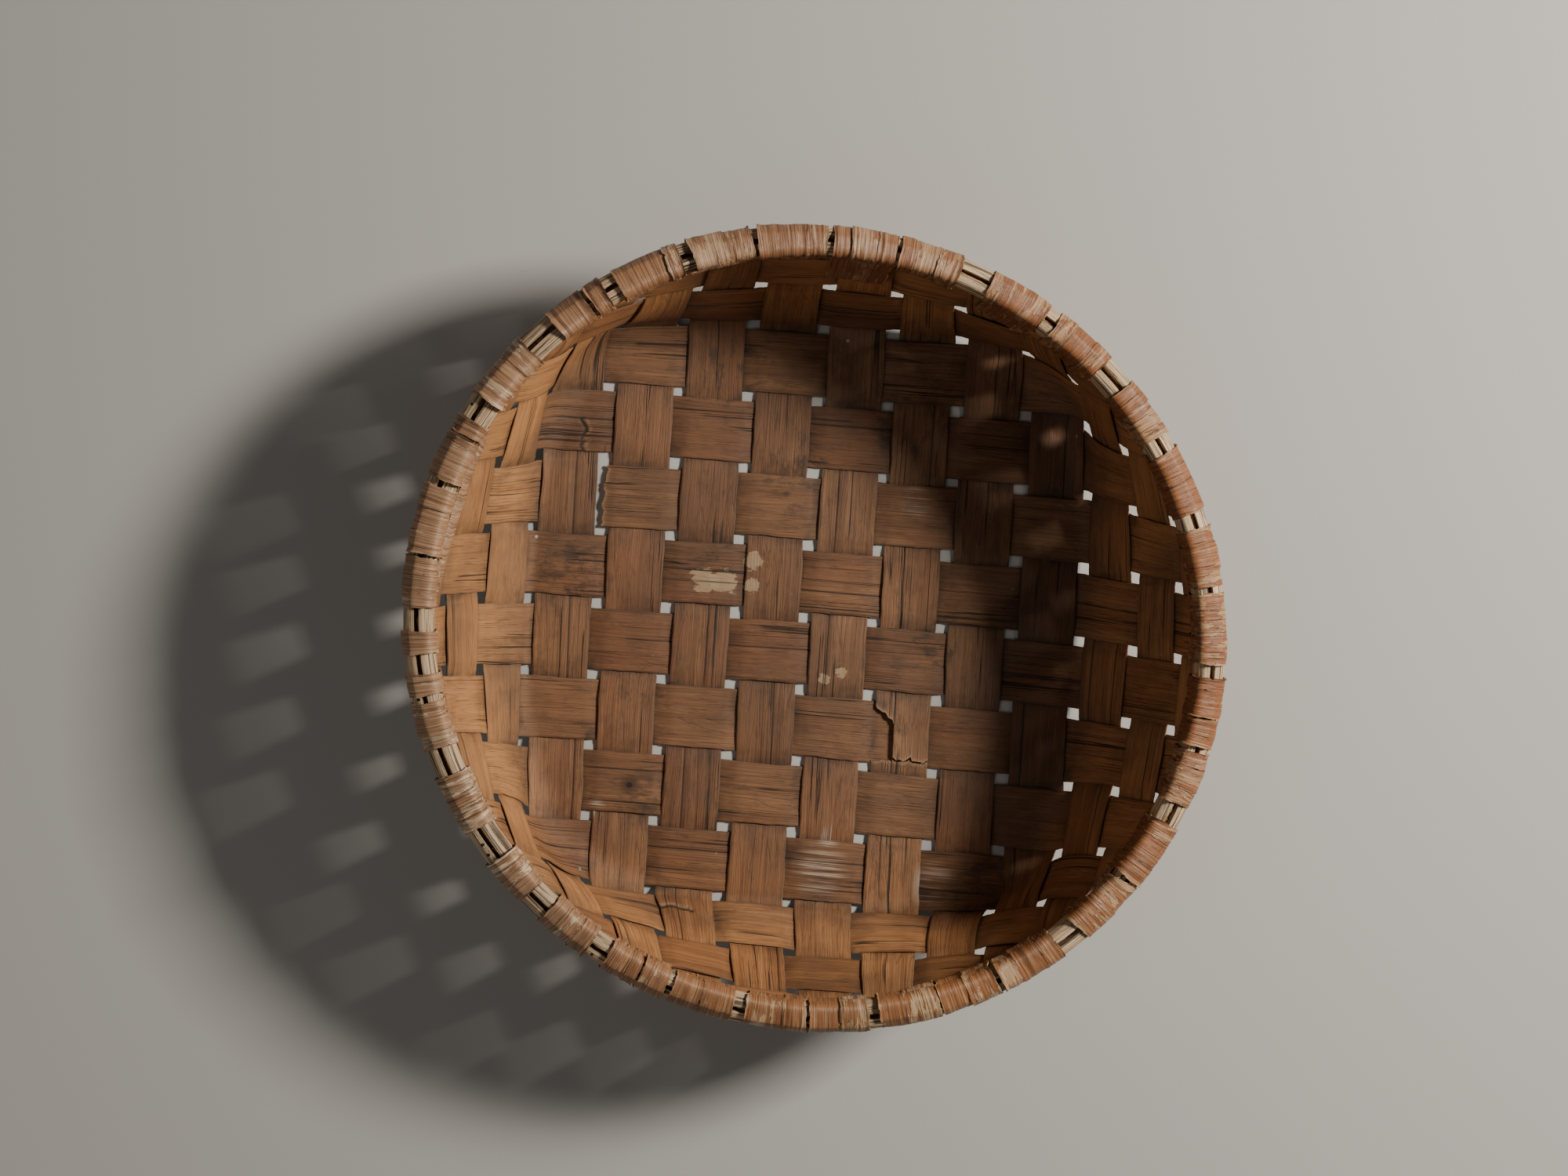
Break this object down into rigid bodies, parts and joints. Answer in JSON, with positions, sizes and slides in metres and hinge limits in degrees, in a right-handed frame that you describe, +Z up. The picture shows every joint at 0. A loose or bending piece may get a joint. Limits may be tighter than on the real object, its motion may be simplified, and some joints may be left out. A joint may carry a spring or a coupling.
{
  "type": "winnowing basket",
  "caption": "Shallow plaited wood-splint basket with a square woven bottom rising to a round rim of two hoops bound with bark.",
  "frame": {"origin": "centre of the flat underside, on the floor that the basket stands on", "axes": "+Z up through the open mouth; +X along the weft splints; +Y along the warp splints"},
  "size_m": [0.499, 0.499, 0.12],
  "materials": {
    "splint_wood": "matt, aged and darkened",
    "hoop_wood": "matt, weathered and fibrous",
    "bark": "satin bark with fine lines across it"
  },
  "bodies": {
    "root": {"warp_splint_01": "splint_wood", "warp_splint_02": "splint_wood", "warp_splint_03": "splint_wood", "warp_splint_04": "splint_wood", "warp_splint_05": "splint_wood", "warp_splint_06": "splint_wood", "warp_splint_07": "splint_wood", "warp_splint_08": "splint_wood", "warp_splint_09": "splint_wood", "warp_splint_10": "splint_wood", "warp_splint_11": "splint_wood", "warp_splint_12": "splint_wood", "weft_splint_01": "splint_wood", "weft_splint_02": "splint_wood", "weft_splint_03": "splint_wood", "weft_splint_04": "splint_wood", "weft_splint_05": "splint_wood", "weft_splint_06": "splint_wood", "weft_splint_07": "splint_wood", "weft_splint_08": "splint_wood", "weft_splint_09": "splint_wood", "weft_splint_10": "splint_wood", "weft_splint_11": "splint_wood", "weft_splint_12": "splint_wood", "edge_splints": "splint_wood", "outer_hoop": "hoop_wood", "inner_hoop": "hoop_wood", "bark_wrap_01": "bark", "bark_wrap_02": "bark", "bark_wrap_03": "bark", "bark_wrap_04": "bark", "bark_wrap_05": "bark", "bark_wrap_06": "bark", "bark_wrap_07": "bark", "bark_wrap_08": "bark", "bark_wrap_09": "bark", "bark_wrap_10": "bark", "bark_wrap_11": "bark", "bark_wrap_12": "bark", "bark_wrap_13": "bark", "bark_wrap_14": "bark", "bark_wrap_15": "bark", "bark_wrap_16": "bark", "bark_wrap_17": "bark", "bark_wrap_18": "bark", "bark_wrap_19": "bark", "bark_wrap_20": "bark", "bark_wrap_21": "bark", "bark_wrap_22": "bark", "bark_wrap_23": "bark", "bark_wrap_24": "bark", "bark_wrap_25": "bark", "bark_wrap_26": "bark", "bark_wrap_27": "bark", "bark_wrap_28": "bark", "bark_wrap_29": "bark", "bark_wrap_30": "bark", "bark_wrap_31": "bark", "narrow_bark_ties": "bark"}
  },
  "joints": []
}
